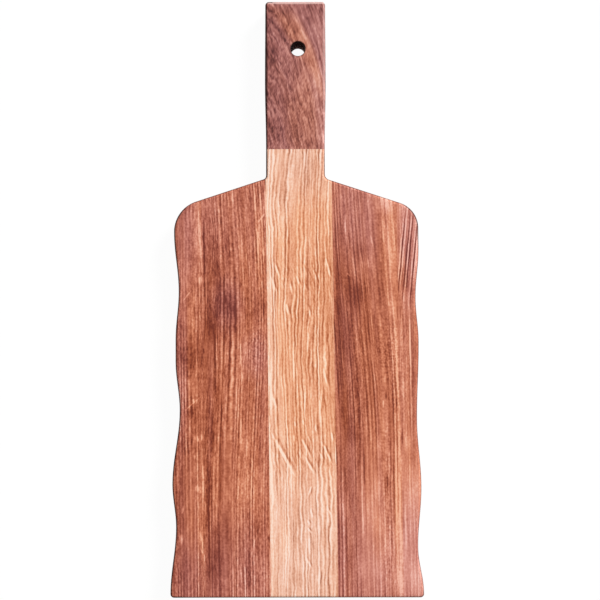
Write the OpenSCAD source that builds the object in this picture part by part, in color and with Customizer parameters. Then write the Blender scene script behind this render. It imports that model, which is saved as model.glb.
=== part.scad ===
// Paddle serving board: five glued oak staves with wavy sides, and a doweled handle block.
// The board lies flat, origin under its middle, handle towards +Y, serving face up.

/* [Panel] */
// Length of the serving part, from the foot end to the neck corners
blade_l = 313.9; // [220:0.5:420]
// Thickness of the board
board_t = 20; // [15:0.5:32]
// Width of the pale stave in the middle
centre_stave_w = 50; // [40:0.1:64]
// Width of each of the two staves beside it
side_stave_w = 48.8; // [36:0.1:64]
// Width of each edge stave at the foot end, if the glue-up lay central
edge_stave_w = 20.5; // [16:0.1:40]
// Turn of the glue lines against the axis of the board, in degrees
stave_skew = 0.74; // [-1.2:0.02:1.2]
// How far the middle of the glue-up lies right of the axis at the foot end
stave_shift = 5.5; // [-8:0.1:8]
// Depth of the deepest hollow in the wavy sides, below the foot corners
wave_depth = 6.3; // [2:0.1:9]

/* [Shoulders] */
// Fall of the shoulders from the neck to the sides, in degrees
shoulder_angle = 18.3; // [8:0.1:30]
// Radius of the left shoulder
left_shoulder_r = 24; // [8:0.5:34]
// Radius of the right shoulder
right_shoulder_r = 20; // [8:0.5:34]
// Radius of the hollow between neck and left shoulder
left_neck_r = 3; // [1:0.1:10]
// Radius of the hollow between neck and right shoulder
right_neck_r = 4.5; // [1:0.1:10]

/* [Handle] */
// Length of the neck, from its corners to the joint with the handle block
neck_l = 22.1; // [12:0.5:60]
// Width of the neck
neck_w = 44.6; // [36:0.1:60]
// Length of the handle block, from the joint to the tip
block_l = 114; // [80:0.5:180]
// Width of the handle block where it swells most
grip_w = 46.3; // [36:0.1:64]
// Width of the handle block at its tip
tip_w = 45.8; // [36:0.1:64]
// How far the axis of the handle lies right of the board's axis
handle_shift = -0.9; // [-6:0.1:6]

/* [Hanging hole] */
// Diameter of the hanging hole
hole_d = 11; // [6:0.5:20]
// Distance of the hole's axis from the tip
hole_inset = 36.7; // [16:0.1:50]
// Distance of the hole's axis right of the handle's axis
hole_shift = 2; // [-6:0.1:6]
// Width of the bevel on the rims of the hole
hole_bevel = 0.8; // [0.3:0.1:2]

/* [Edges] */
// Radius of the round-over along all outer edges
edge_r = 2; // [1:0.1:5]
// How much rounder the foot and tip corners are, seen from above, than the round-over
corner_extra = 0.8; // [0.3:0.1:8]

/* [Dowels] */
// Diameter of the two dowels in the handle joint
dowel_d = 8; // [5:0.5:10]
// Length of each dowel, half of it on either side of the joint
dowel_l = 40; // [24:1:60]
// Distance of each dowel's axis from the side of the neck
dowel_inset = 11.3; // [9:0.1:14]
// Gap all round between a dowel and its hole
dowel_gap = 0.1; // [0.05:0.05:0.3]
// Room for glue past each end of a dowel
glue_room = 1; // [0.5:0.1:3]

/* [Hidden] */
// Bevel on the dowel ends
dowel_bevel = 1;
// Radius of each glue flute, and how deep it is cut into the dowel
flute_r = 0.6;
flute_depth = 0.35;
flute_count = 12;
// How far cuts run past the wood that they remove
overrun = 5;

// Steps along each rise or fall of a side, and along the arcs of the outline and of the round-over
wave_steps = 5;
grip_steps = 4;
shoulder_steps = 8;
corner_steps = 4;
edge_steps = 3;
$fn = 64;

// Crests and hollows of the sides from foot to shoulder: share of the side's length, share of wave_depth
left_wave_shares = [[0, 0], [0.18, 0.63], [0.3, 0.17], [0.5, 1],
                    [0.64, 0.48], [0.7, 0.47], [0.83, 0.82], [1, 0.23]];
right_wave_shares = [[0, 0], [0.126, 0.66], [0.29, 0.22], [0.47, 0.68],
                     [0.685, 0.42], [0.805, 0.75], [0.943, 0.35], [1, 0.36]];
// Place of the widest grip along the handle block
grip_share = 0.47;

centre_seam = centre_stave_w / 2;
edge_seam = centre_seam + side_stave_w;
foot_half = edge_seam + edge_stave_w;
joint_y = blade_l + neck_l;
board_l = joint_y + block_l;
corner_r = edge_r + corner_extra;
shoulder_turn = 90 - shoulder_angle;
dowel_spread = neck_w / 2 - dowel_inset;
dowel_hole_d = dowel_d + 2 * dowel_gap;
hole_y = board_l - hole_inset;

function mix(a, b, t) = a + (b - a) * t;

// Smooth step from 0 to 1 that is level at both ends
function ease(t) = (1 - cos(180 * t)) / 2;

function arc(centre, r, from, to, steps) =
    [for (k = [0 : steps]) let (a = mix(from, to, k / steps)) centre + r * [cos(a), sin(a)]];

// Eased curve through stations of [half width, distance from the foot], without the last one
function eased_path(stations, steps) =
    [for (i = [0 : len(stations) - 2]) for (k = [0 : steps - 1])
        let (a = stations[i], b = stations[i + 1], t = k / steps)
            [mix(a[0], b[0], ease(t)), mix(a[1], b[1], t)]];

// One side of the outline from foot to tip, as [half width, distance from the foot], where
// lean is how much nearer to this side the handle lies
function side_outline(wave_shares, shoulder_r, neck_r, lean) =
    let (
        neck_half = neck_w / 2 + lean,
        grip_half = grip_w / 2 + lean,
        tip_half = tip_w / 2 + lean,
        crest_half = foot_half - wave_depth * wave_shares[len(wave_shares) - 1][1],
        shoulder_y = blade_l - (crest_half - neck_half) * tan(shoulder_angle),
        wave_end = shoulder_y - shoulder_r * tan(shoulder_turn / 2),
        wave_stations = [for (s = wave_shares)
            [foot_half - wave_depth * s[1], mix(corner_r, wave_end, s[0])]],
        neck_centre = [neck_half + neck_r,
                       blade_l + neck_r * (1 / cos(shoulder_angle) - tan(shoulder_angle))],
        tip_y = board_l - corner_r,
        grip_stations = [[neck_half, joint_y],
                         [grip_half, mix(joint_y, tip_y, grip_share)],
                         [tip_half, tip_y]],
        wave = eased_path(wave_stations, wave_steps)
    )
    concat(
        arc([foot_half - corner_r, corner_r], corner_r, -90, 0, corner_steps),
        [for (i = [1 : len(wave) - 1]) wave[i]],
        arc([crest_half - shoulder_r, wave_end], shoulder_r, 0, shoulder_turn, shoulder_steps),
        arc(neck_centre, neck_r, -90 - shoulder_angle, -180, corner_steps),
        eased_path(grip_stations, grip_steps),
        arc([tip_half - corner_r, tip_y], corner_r, 0, 90, corner_steps)
    );

right_outline = side_outline(right_wave_shares, right_shoulder_r, right_neck_r, handle_shift);
left_outline = side_outline(left_wave_shares, left_shoulder_r, left_neck_r, -handle_shift);
side_count = len(right_outline);
ring_count = 2 * side_count;

// The whole outline, up the right side and down the left one
outline = concat(right_outline,
                 [for (i = [side_count - 1 : -1 : 0]) [-left_outline[i][0], left_outline[i][1]]]);

function inward(from, to) = let (d = (to - from) / norm(to - from)) [-d[1], d[0]];

// Outline drawn in by the same distance all round
function inset_outline(inset) =
    [for (i = [0 : ring_count - 1])
        let (p = outline[i],
             n1 = inward(outline[(i + ring_count - 1) % ring_count], p),
             n2 = inward(p, outline[(i + 1) % ring_count]))
            p + inset * (n1 + n2) / (1 + n1 * n2)];

// Insets and heights of the rings that make the round-over, from the underside up
lower_edge = [for (k = [0 : edge_steps]) let (a = 90 * k / edge_steps) edge_r * [1 - sin(a), 1 - cos(a)]];
edge_rings = concat(lower_edge,
                    [for (k = [edge_steps : -1 : 0]) [lower_edge[k][0], board_t - lower_edge[k][1]]]);

// The board in one piece, before it is parted into staves and handle
module board_blank() {
    ring_last = len(edge_rings) - 1;
    points = [for (ring = edge_rings) for (p = inset_outline(ring[0])) [p[0], p[1], ring[1]]];
    walls = [for (r = [0 : ring_last - 1]) for (i = [0 : ring_count - 1])
        let (a = r * ring_count + i, b = r * ring_count + (i + 1) % ring_count)
            [a, a + ring_count, b + ring_count, b]];
    underside = [for (i = [0 : side_count - 2])
        [i, i + 1, ring_count - 2 - i, ring_count - 1 - i]];
    top = [for (face = underside) [for (k = [3 : -1 : 0]) face[k] + ring_last * ring_count]];
    polyhedron(points, concat(walls, underside, top));
}

// Where a glue line crosses the height y, for a line that lies so far from the middle of the glue-up
function seam_x(offset, y) = stave_shift + offset / cos(stave_skew) - y * tan(stave_skew);

// Zone of one stave between two glue lines, from past the foot up to the handle joint
module stave_zone(from, to) {
    low = -overrun;
    translate([0, 0, -overrun])
        linear_extrude(board_t + 2 * overrun)
            polygon([[seam_x(from, low), low], [seam_x(to, low), low],
                     [seam_x(to, joint_y), joint_y], [seam_x(from, joint_y), joint_y]]);
}

module stave(from, to) {
    translate([0, -board_l / 2, 0])
        intersection() {
            board_blank();
            stave_zone(from, to);
        }
}

// Blind holes for both dowels, reaching into the wood on both sides of the joint
module dowel_holes() {
    hole_l = dowel_l + 2 * glue_room;
    for (side = [-1, 1])
        translate([handle_shift + side * dowel_spread, joint_y - board_l / 2 - hole_l / 2, board_t / 2])
            rotate([-90, 0, 0])
                cylinder(h = hole_l, d = dowel_hole_d);
}

// Through hole with a bevel at both rims
module hanging_hole() {
    rim_d = hole_d + 2 * (hole_bevel + overrun);
    translate([handle_shift + hole_shift, hole_y - board_l / 2, 0]) {
        translate([0, 0, -overrun])
            cylinder(h = board_t + 2 * overrun, d = hole_d);
        translate([0, 0, -overrun])
            cylinder(h = overrun + hole_bevel, d1 = rim_d, d2 = hole_d);
        translate([0, 0, board_t - hole_bevel])
            cylinder(h = overrun + hole_bevel, d1 = hole_d, d2 = rim_d);
    }
}

// Fluted dowel with bevelled ends, across the joint on one side of the axis
module dowel(side) {
    r = dowel_d / 2;
    translate([handle_shift + side * dowel_spread, joint_y - board_l / 2 - dowel_l / 2, board_t / 2])
        rotate([-90, 0, 0])
            difference() {
                rotate_extrude()
                    polygon([[0, 0], [r - dowel_bevel, 0], [r, dowel_bevel], [r, dowel_l - dowel_bevel],
                             [r - dowel_bevel, dowel_l], [0, dowel_l]]);
                for (i = [0 : flute_count - 1])
                    rotate([0, 0, 360 * i / flute_count])
                        translate([r + flute_r - flute_depth, 0, -overrun])
                            cylinder(h = dowel_l + 2 * overrun, r = flute_r);
            }
}

module left_edge_stave() {
    color("#b97158") stave(-2 * foot_half, -edge_seam);
}

module left_stave() {
    color("#b46c54") stave(-edge_seam, -centre_seam);
}

module centre_stave() {
    color("#e8b08a") difference() {
        stave(-centre_seam, centre_seam);
        dowel_holes();
    }
}

module right_stave() {
    color("#b9745c") stave(centre_seam, edge_seam);
}

module right_edge_stave() {
    color("#c98870") stave(edge_seam, 2 * foot_half);
}

module handle_block() {
    color("#8f574c") difference() {
        translate([0, -board_l / 2, 0])
            intersection() {
                board_blank();
                translate([-foot_half, joint_y, -overrun])
                    cube([2 * foot_half, block_l + overrun, board_t + 2 * overrun]);
            }
        dowel_holes();
        hanging_hole();
    }
}

module left_dowel() {
    color("#e3c9a0") dowel(-1);
}

module right_dowel() {
    color("#e3c9a0") dowel(1);
}

left_edge_stave();
left_stave();
centre_stave();
right_stave();
right_edge_stave();
handle_block();
left_dowel();
right_dowel();
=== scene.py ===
# Paddle serving board: five glued oak staves with wavy sides, and a doweled walnut handle block.
from functools import partial
from math import cos, pi, radians, sin, tan

import bpy
from mathutils import Matrix, Vector


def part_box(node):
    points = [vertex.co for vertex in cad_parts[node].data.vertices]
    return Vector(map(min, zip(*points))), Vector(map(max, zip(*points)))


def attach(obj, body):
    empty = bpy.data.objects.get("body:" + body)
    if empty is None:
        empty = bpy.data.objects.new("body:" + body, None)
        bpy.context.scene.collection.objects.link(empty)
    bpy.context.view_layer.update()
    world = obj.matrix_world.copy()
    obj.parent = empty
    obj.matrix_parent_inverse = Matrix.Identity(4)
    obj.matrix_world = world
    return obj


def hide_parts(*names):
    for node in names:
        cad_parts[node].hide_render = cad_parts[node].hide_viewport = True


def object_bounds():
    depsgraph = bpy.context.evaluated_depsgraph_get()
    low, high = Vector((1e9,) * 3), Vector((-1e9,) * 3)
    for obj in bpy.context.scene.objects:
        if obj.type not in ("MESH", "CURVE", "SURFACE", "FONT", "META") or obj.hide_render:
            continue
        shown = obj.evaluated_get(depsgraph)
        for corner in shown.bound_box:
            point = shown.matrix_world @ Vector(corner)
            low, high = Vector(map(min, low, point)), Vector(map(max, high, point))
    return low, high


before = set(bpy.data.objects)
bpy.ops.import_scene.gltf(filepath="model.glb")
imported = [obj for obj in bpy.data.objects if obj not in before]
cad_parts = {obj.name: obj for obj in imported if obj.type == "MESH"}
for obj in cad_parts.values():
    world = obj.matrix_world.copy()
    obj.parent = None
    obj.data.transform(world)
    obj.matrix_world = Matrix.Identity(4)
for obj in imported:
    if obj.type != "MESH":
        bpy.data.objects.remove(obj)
cad_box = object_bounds()

# Sizes in millimetres. The frame gives those that its boxes show.
MM = 0.001
board_low, board_high = [corner / MM for corner in cad_box]
handle_low, handle_high = [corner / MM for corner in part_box("handle_block")]
dowel_low, dowel_high = [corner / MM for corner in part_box("right_dowel")]

BOARD_L = board_high.y - board_low.y
BOARD_T = board_high.z - board_low.z
FOOT_HALF = (board_high.x - board_low.x) / 2
JOINT = handle_low.y - board_low.y
GRIP_W = handle_high.x - handle_low.x
HANDLE_SHIFT = (handle_high.x + handle_low.x) / 2

# The serving part and its shoulders
BLADE_L = 313.9
WAVE_DEPTH = 6.3
SHOULDER_ANGLE = 18.3
LEFT_SHOULDER_R = 24
RIGHT_SHOULDER_R = 20
LEFT_NECK_R = 3
RIGHT_NECK_R = 4.5
# Crests and hollows of the sides from foot to shoulder: share of the side's length, share of the wave depth
LEFT_WAVE_SHARES = ((0, 0), (0.18, 0.63), (0.3, 0.17), (0.5, 1), (0.64, 0.48), (0.7, 0.47), (0.83, 0.82),
                    (1, 0.23))
RIGHT_WAVE_SHARES = ((0, 0), (0.126, 0.66), (0.29, 0.22), (0.47, 0.68), (0.685, 0.42), (0.805, 0.75),
                     (0.943, 0.35), (1, 0.36))

# The handle, its hanging hole and the blind holes for the dowels
NECK_W = 44.6
TIP_W = 45.8
GRIP_SHARE = 0.47
HOLE_D = 11
HOLE_INSET = 36.7
HOLE_SHIFT = 2
HOLE_ROUND = 0.8
DOWEL_GAP = 0.1
GLUE_ROOM = 1

# Edges: radius of the round-over, how much rounder the corners are, and a flat lip that keeps the faces flat
EDGE_R = 2
CORNER_EXTRA = 0.8
CORNER_R = EDGE_R + CORNER_EXTRA
LIP = 0.4

# Glue lines: their distances from the middle of the glue-up, its turn, and its shift at the foot
CENTRE_SEAM = 25
EDGE_SEAM = 73.8
STAVE_SKEW = radians(0.74)
STAVE_SHIFT = 5.5

# Steps along each rise or fall of a side and along the arcs
WAVE_STEPS = 14
GRIP_STEPS = 14
SHOULDER_STEPS = 24
CORNER_STEPS = 12
EDGE_STEPS = 8
ROUND_STEPS = 96
# How far cutting solids reach past the board
OVERRUN = 5
# An edge of a mesh that turns by more than this stays sharp, and points nearer than this become one
SHARP_ANGLE = radians(35)
MERGE_GAP = 0.001


def add(tree, kind, inputs=None, stops=(), **settings):
    """Adds a node, sets its properties and ramp stops, sets or links its inputs, and returns it."""
    node = tree.nodes.new(kind)
    for name, value in settings.items():
        setattr(node, name, value)
    if stops:
        ramp = node.color_ramp.elements
        ramp.remove(ramp[1])
        ramp[0].position = stops[0][0]
        ramp[0].color = (*linear(stops[0][1]), 1)
    for place, colour in stops[1:]:
        ramp.new(place).color = (*linear(colour), 1)
    for key, value in (inputs or {}).items():
        if isinstance(value, bpy.types.NodeSocket):
            tree.links.new(value, node.inputs[key])
        else:
            node.inputs[key].default_value = value
    return node


def linear(colour):
    """Linear red, green and blue of an sRGB hex colour."""
    shares = [int(colour[i:i + 2], 16) / 255 for i in (0, 2, 4)]
    return [s / 12.92 if s <= 0.04045 else ((s + 0.055) / 1.055) ** 2.4 for s in shares]


# Outline of the board

def arc(centre, radius, start, end, steps):
    """Points of an arc between two angles in degrees."""
    angles = [radians(start + (end - start) * k / steps) for k in range(steps + 1)]
    return [(centre[0] + radius * cos(a), centre[1] + radius * sin(a)) for a in angles]


def eased(stations, steps):
    """Points of a curve from station to station that is level at each one, without the last station."""
    points = []
    for (width, place), (next_width, next_place) in zip(stations, stations[1:]):
        for k in range(steps):
            share = k / steps
            ease = (1 - cos(pi * share)) / 2
            points.append((width + (next_width - width) * ease, place + (next_place - place) * share))
    return points


def side_outline(wave_shares, shoulder_r, neck_r, lean):
    """One side from foot to tip as (half width, distance from the foot), with this lean of the handle."""
    fall = radians(SHOULDER_ANGLE)
    turn = 90 - SHOULDER_ANGLE
    neck_half, grip_half, tip_half = [width / 2 + lean for width in (NECK_W, GRIP_W, TIP_W)]
    crest_half = FOOT_HALF - WAVE_DEPTH * wave_shares[-1][1]
    shoulder_y = BLADE_L - (crest_half - neck_half) * tan(fall)
    wave_end = shoulder_y - shoulder_r * tan(radians(turn / 2))
    wave = [(FOOT_HALF - WAVE_DEPTH * depth, CORNER_R + (wave_end - CORNER_R) * share)
            for share, depth in wave_shares]
    neck_centre = (neck_half + neck_r, BLADE_L + neck_r * (1 / cos(fall) - tan(fall)))
    tip_y = BOARD_L - CORNER_R
    grip = [(neck_half, JOINT), (grip_half, JOINT + (tip_y - JOINT) * GRIP_SHARE), (tip_half, tip_y)]
    return (arc((FOOT_HALF - CORNER_R, CORNER_R), CORNER_R, -90, 0, CORNER_STEPS)
            + eased(wave, WAVE_STEPS)[1:]
            + arc((crest_half - shoulder_r, wave_end), shoulder_r, 0, turn, SHOULDER_STEPS)
            + arc(neck_centre, neck_r, -90 - SHOULDER_ANGLE, -180, CORNER_STEPS)
            + eased(grip, GRIP_STEPS)
            + arc((tip_half - CORNER_R, tip_y), CORNER_R, 0, 90, CORNER_STEPS))


def board_outline():
    """The whole outline in board coordinates, anticlockwise from the foot."""
    right = side_outline(RIGHT_WAVE_SHARES, RIGHT_SHOULDER_R, RIGHT_NECK_R, HANDLE_SHIFT)
    left = side_outline(LEFT_WAVE_SHARES, LEFT_SHOULDER_R, LEFT_NECK_R, -HANDLE_SHIFT)
    points = right + [(-width, place) for width, place in reversed(left)]
    return [(width, place - BOARD_L / 2, 0) for width, place in points]


def edge_profile():
    """Section of the edge from the lip on the top face round to the lip below, as (outwards, downwards)."""
    inner = -EDGE_R - LIP
    top_round = [(x, -y) for x, y in arc((-EDGE_R, BOARD_T - EDGE_R), EDGE_R, 90, 0, EDGE_STEPS)]
    low_round = [(x, -y) for x, y in arc((-EDGE_R, EDGE_R), EDGE_R, 0, -90, EDGE_STEPS)]
    return [(x, y, 0) for x, y in [(inner, -BOARD_T), *top_round, *low_round, (inner, 0)]]


# Helper solids

def helper(name, points, edges=(), faces=()):
    """A hidden helper object from points in millimetres."""
    mesh = bpy.data.meshes.new(name)
    mesh.from_pydata([Vector(p) * MM for p in points], edges, faces)
    piece = bpy.data.objects.new(name, mesh)
    bpy.context.scene.collection.objects.link(piece)
    return piece


def prism(name, corners):
    """Upright prism on an anticlockwise outline, a little taller than the board."""
    count = len(corners)
    points = [(x, y, z) for z in (-OVERRUN, BOARD_T + OVERRUN) for x, y in corners]
    sides = [(i, (i + 1) % count, count + (i + 1) % count, count + i) for i in range(count)]
    caps = [tuple(reversed(range(count))), tuple(range(count, 2 * count))]
    return helper(name, points, faces=sides + caps)


def seam_x(offset, place):
    """Where a glue line lies across the board, at a distance from the foot."""
    return STAVE_SHIFT + offset / cos(STAVE_SKEW) - place * tan(STAVE_SKEW)


def stave_zone(name, start, end):
    """Room of one stave between two glue lines, up to the handle joint."""
    places = ((start, -OVERRUN), (end, -OVERRUN), (end, JOINT), (start, JOINT))
    return prism(name, [(seam_x(offset, place), place - BOARD_L / 2) for offset, place in places])


def handle_zone(name):
    """Room of the handle block beyond its joint."""
    low, high = JOINT - BOARD_L / 2, BOARD_L / 2 + OVERRUN
    return prism(name, [(-FOOT_HALF, low), (FOOT_HALF, low), (FOOT_HALF, high), (-FOOT_HALF, high)])


def turned(profile, place, matrix):
    """Points and faces of a turned solid, from (radius, distance along its axis) of each of its rings."""
    points = []
    for radius, height in profile:
        for x, y in arc((0, 0), radius, 0, 360, ROUND_STEPS)[:-1]:
            points.append(Vector(place) + matrix @ Vector((x, y, height)))
    faces = [tuple(reversed(range(ROUND_STEPS)))]
    for ring in range(len(profile) - 1):
        for k in range(ROUND_STEPS):
            a, b = ring * ROUND_STEPS + k, ring * ROUND_STEPS + (k + 1) % ROUND_STEPS
            faces.append((a, b, b + ROUND_STEPS, a + ROUND_STEPS))
    faces.append(tuple(range((len(profile) - 1) * ROUND_STEPS, len(points))))
    return points, faces


def drill(name, with_hanging_hole):
    """What the drills take out: the two blind dowel holes and, in the handle, the rounded hanging hole."""
    dowel_r = (dowel_high.z - dowel_low.z) / 2 + DOWEL_GAP
    dowel_half = (dowel_high.y - dowel_low.y) / 2 + GLUE_ROOM
    dowel_place = (dowel_low + dowel_high) / 2
    spread = dowel_place.x - HANDLE_SHIFT
    along_y = Matrix.Rotation(radians(-90), 3, "X")
    solids = []
    for side in (-1, 1):
        place = (HANDLE_SHIFT + side * spread, dowel_place.y, dowel_place.z)
        solids.append(turned([(dowel_r, -dowel_half), (dowel_r, dowel_half)], place, along_y))
    if with_hanging_hole:
        hole_r = HOLE_D / 2
        rim_r = hole_r + HOLE_ROUND
        low_rim = [(rim_r + x, y) for x, y in arc((0, HOLE_ROUND), HOLE_ROUND, -90, -180, EDGE_STEPS)]
        high_rim = [(radius, BOARD_T - height) for radius, height in reversed(low_rim)]
        profile = [(rim_r, -OVERRUN), *low_rim, *high_rim, (rim_r, BOARD_T + OVERRUN)]
        place = (HANDLE_SHIFT + HOLE_SHIFT, BOARD_L / 2 - HOLE_INSET, 0)
        solids.append(turned(profile, place, Matrix.Identity(3)))
    points, faces = [], []
    for solid_points, solid_faces in solids:
        start = len(points)
        points += solid_points
        faces += [tuple(start + i for i in face) for face in solid_faces]
    return helper(name, points, faces=faces)


# The board as a swept outline, parted into its pieces by geometry nodes

def board_piece_tree():
    """Sweeps the rounded edge along the outline, closes both faces, keeps one zone and drills it."""
    tree = bpy.data.node_groups.new("board_piece", "GeometryNodeTree")
    kinds = {"Outline": "Geometry", "Edge Profile": "Object", "Zone": "Object", "Drill": "Object",
             "Thickness": "Float", "Wood": "Material"}
    sockets = {}
    for name, kind in kinds.items():
        socket = tree.interface.new_socket(name, in_out="INPUT", socket_type=f"NodeSocket{kind}")
        sockets[name] = socket.identifier
    tree.interface.new_socket("Piece", in_out="OUTPUT", socket_type="NodeSocketGeometry")
    given = add(tree, "NodeGroupInput").outputs
    solids = {}
    for name in ("Edge Profile", "Zone", "Drill"):
        solids[name] = add(tree, "GeometryNodeObjectInfo", {"Object": given[name]}).outputs["Geometry"]

    path = add(tree, "GeometryNodeMeshToCurve", {"Mesh": given["Outline"]})
    upright = add(tree, "GeometryNodeSetCurveNormal", {"Curve": path.outputs[0]}, mode="Z_UP")
    section = add(tree, "GeometryNodeMeshToCurve", {"Mesh": solids["Edge Profile"]})
    band = add(tree, "GeometryNodeCurveToMesh",
               {"Curve": upright.outputs[0], "Profile Curve": section.outputs[0]}).outputs[0]

    position = add(tree, "GeometryNodeInputPosition").outputs[0]
    where = add(tree, "ShaderNodeSeparateXYZ", {0: position}).outputs
    neighbours = add(tree, "GeometryNodeInputMeshEdgeNeighbors").outputs[0]
    rim = add(tree, "FunctionNodeCompare", {2: neighbours, 3: 1},
              data_type="INT", operation="EQUAL").outputs[0]
    half = add(tree, "ShaderNodeMath", {0: given["Thickness"], 1: 0.5}, operation="MULTIPLY").outputs[0]
    upper = add(tree, "FunctionNodeCompare", {0: where["Z"], 1: half}, operation="GREATER_THAN").outputs[0]
    lower = add(tree, "FunctionNodeBooleanMath", {0: upper}, operation="NOT").outputs[0]
    closed = add(tree, "GeometryNodeJoinGeometry", {0: band})
    for chosen, height in ((upper, given["Thickness"]), (lower, 0)):
        edge = add(tree, "FunctionNodeBooleanMath", {0: rim, 1: chosen}, operation="AND").outputs[0]
        loop = add(tree, "GeometryNodeMeshToCurve", {"Mesh": band, "Selection": edge}).outputs[0]
        face = add(tree, "GeometryNodeFillCurve", {"Curve": loop}, mode="NGONS").outputs[0]
        flat = add(tree, "ShaderNodeCombineXYZ", {0: where["X"], 1: where["Y"], 2: height}).outputs[0]
        face = add(tree, "GeometryNodeSetPosition", {"Geometry": face, "Position": flat}).outputs[0]
        if chosen == lower:
            face = add(tree, "GeometryNodeFlipFaces", {"Mesh": face}).outputs[0]
        tree.links.new(face, closed.inputs[0])
    blank = add(tree, "GeometryNodeMergeByDistance",
                {"Geometry": closed.outputs[0], "Distance": MERGE_GAP * MM}).outputs[0]

    kept = add(tree, "GeometryNodeMeshBoolean", {"Mesh 2": blank}, operation="INTERSECT", solver="EXACT")
    tree.links.new(solids["Zone"], kept.inputs["Mesh 2"])
    drilled = add(tree, "GeometryNodeMeshBoolean", {"Mesh 1": kept.outputs[0], "Mesh 2": solids["Drill"]},
                  operation="DIFFERENCE", solver="EXACT")
    smooth = add(tree, "GeometryNodeSetShadeSmooth", {"Geometry": drilled.outputs[0]})
    real = add(tree, "GeometryNodeRealizeInstances", {"Geometry": smooth.outputs[0]})
    dressed = add(tree, "GeometryNodeSetMaterial", {"Geometry": real.outputs[0], "Material": given["Wood"]})
    add(tree, "NodeGroupOutput", {"Piece": dressed.outputs[0]})
    return tree, sockets


def board_piece(name, tree, sockets, values):
    """One piece of the board as a plain mesh, made by the tree from its own inputs."""
    source = helper(name + "_outline", OUTLINE, [(i, (i + 1) % len(OUTLINE)) for i in range(len(OUTLINE))])
    modifier = source.modifiers.new("board_piece", "NODES")
    modifier.node_group = tree
    for key, value in values.items():
        modifier[sockets[key]] = value
    graph = bpy.context.evaluated_depsgraph_get()
    mesh = bpy.data.meshes.new_from_object(source.evaluated_get(graph))
    bpy.data.objects.remove(source)
    mesh.name = name
    mesh.set_sharp_from_angle(angle=SHARP_ANGLE)
    piece = bpy.data.objects.new(name, mesh)
    bpy.context.scene.collection.objects.link(piece)
    return piece


# Woods. Tones run from 0, the darkest pore, to 1, the palest ray fleck.

RED_OAK_WARM = ((0, "702C1A"), (0.25, "984A2F"), (0.5, "BC6A4C"), (0.75, "DD8C6A"), (1, "F7B896"))
RED_OAK_PINK = ((0, "6E302A"), (0.25, "965046"), (0.5, "BC7264"), (0.75, "DD9787"), (1, "F7C1B3"))
PALE_OAK_WARM = ((0, "B05E38"), (0.25, "D4865D"), (0.5, "ECA57E"), (0.75, "FAC39D"), (1, "FFE0C5"))
PALE_OAK_PINK = ((0, "B07056"), (0.25, "D4987C"), (0.5, "EEB79C"), (0.75, "F9CEB8"), (1, "FFE4D6"))
WALNUT_MAUVE = ((0, "542828"), (0.25, "7F4744"), (0.5, "A66862"), (0.75, "CA8C84"), (1, "EAB6AC"))
WALNUT_WARM = ((0, "5C2A20"), (0.25, "8A4A3A"), (0.5, "B46D58"), (0.75, "D8927A"), (1, "F2BCA6"))
BEECH_TONES = ((0.2, "C49A6C"), (0.5, "DDB98C"), (0.8, "EACDA4"))
# Painted shade that darkens the arris all round and the wall of the hole
PAINTED_SHADE = "1E0D0A"
# Painted highlight on the edges of the handle that catch the key light: the tip and the right side
EDGE_HIGHLIGHT = "E6C2BA"

# What the names of the finished woods have before the slot that they fill
OILED = "oiled_"
# How far a mark reaches into the wood below the top face
MARK_DEPTH = 40
# Share of a mark that has its full strength
CLOUD_CORE = 0
BAND_CORE = 0.2
FLECK_CORE = 0.3
CALM_CORE = 0.5
EDGE_LIGHT_CORE = 0.7
SHADE_CORE = 0.75
# Painted shade, a darker line by a ray fleck: half widths that it lies aside, and share of the fleck's
# strength
SHADE_ASIDE = 1.5
SHADE_SHARE = 0.6
# How softly pores begin, and the strength of pale dashes as a share of that of the pores
PORE_SOFTNESS = 0.1
PALE_DASH_SHARE = 0.7
# How much coarser a pattern is through the thickness than across
DEPTH_SHARE = 1.4
# Waves of Blender's wave texture in one unit at a scale of one
WAVES_PER_UNIT = 20 / (2 * pi)
# Painted shade on the arris: level is one on a flat face and zero on a side. As it falls from the first
# value to the second, shade grows to the third. Each is (rise where marked stronger, value elsewhere).
ARRIS_START = (0.26, 0.72)
ARRIS_END = (0.26, 0.57)
ARRIS_DARKEST = (0.45, 0.42)
MOST_SHADE_GAIN = 0.95
# Share of that painted shade that upright sides keep, and the level from which all of it shows
SIDE_SHADE_SHARE = 0.35
SIDE_LEVEL = 0.35
# How far painted shade reaches past the hole's wall, and how far inwards the handle's shaded left arris lies
HOLE_SHADE_REACH = 1.3
ARRIS_INSET = 0.4
# Broad drift between the two sets of tones of a wood: (across, along, weight)
HUE_LAYERS = ((12, 120, 0.6), (3, 100, 0.5))
# Sanded and oiled: shallow relief in millimetres, satin fibres, duller pores, and duller where shade is
# painted
RELIEF = 0.06
RELIEF_STRENGTH = 0.5
PORE_ROUGHNESS = 0.6
FIBRE_ROUGHNESS = 0.42
GRAIN_REACH = 0.2
SHADE_ROUGHNESS = 0.5
OIL_SPECULAR = 0.2


def weave(tree, flow, layers, base):
    """Sums noises that are stretched along the grain: (across, along, weight), lengths in millimetres."""
    tone = base - sum(weight for *_, weight in layers) / 2
    for across, along, weight in layers:
        scale = (1 / across, 1 / along, 1 / (DEPTH_SHARE * across))
        local = add(tree, "ShaderNodeMapping", {"Vector": flow, "Scale": scale})
        noise = add(tree, "ShaderNodeTexNoise", {"Vector": local.outputs[0], "Scale": 1, "Detail": 0})
        tone = add(tree, "ShaderNodeMath", {0: noise.outputs[0], 1: weight, 2: tone},
                   operation="MULTIPLY_ADD").outputs[0]
    return tone


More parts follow.
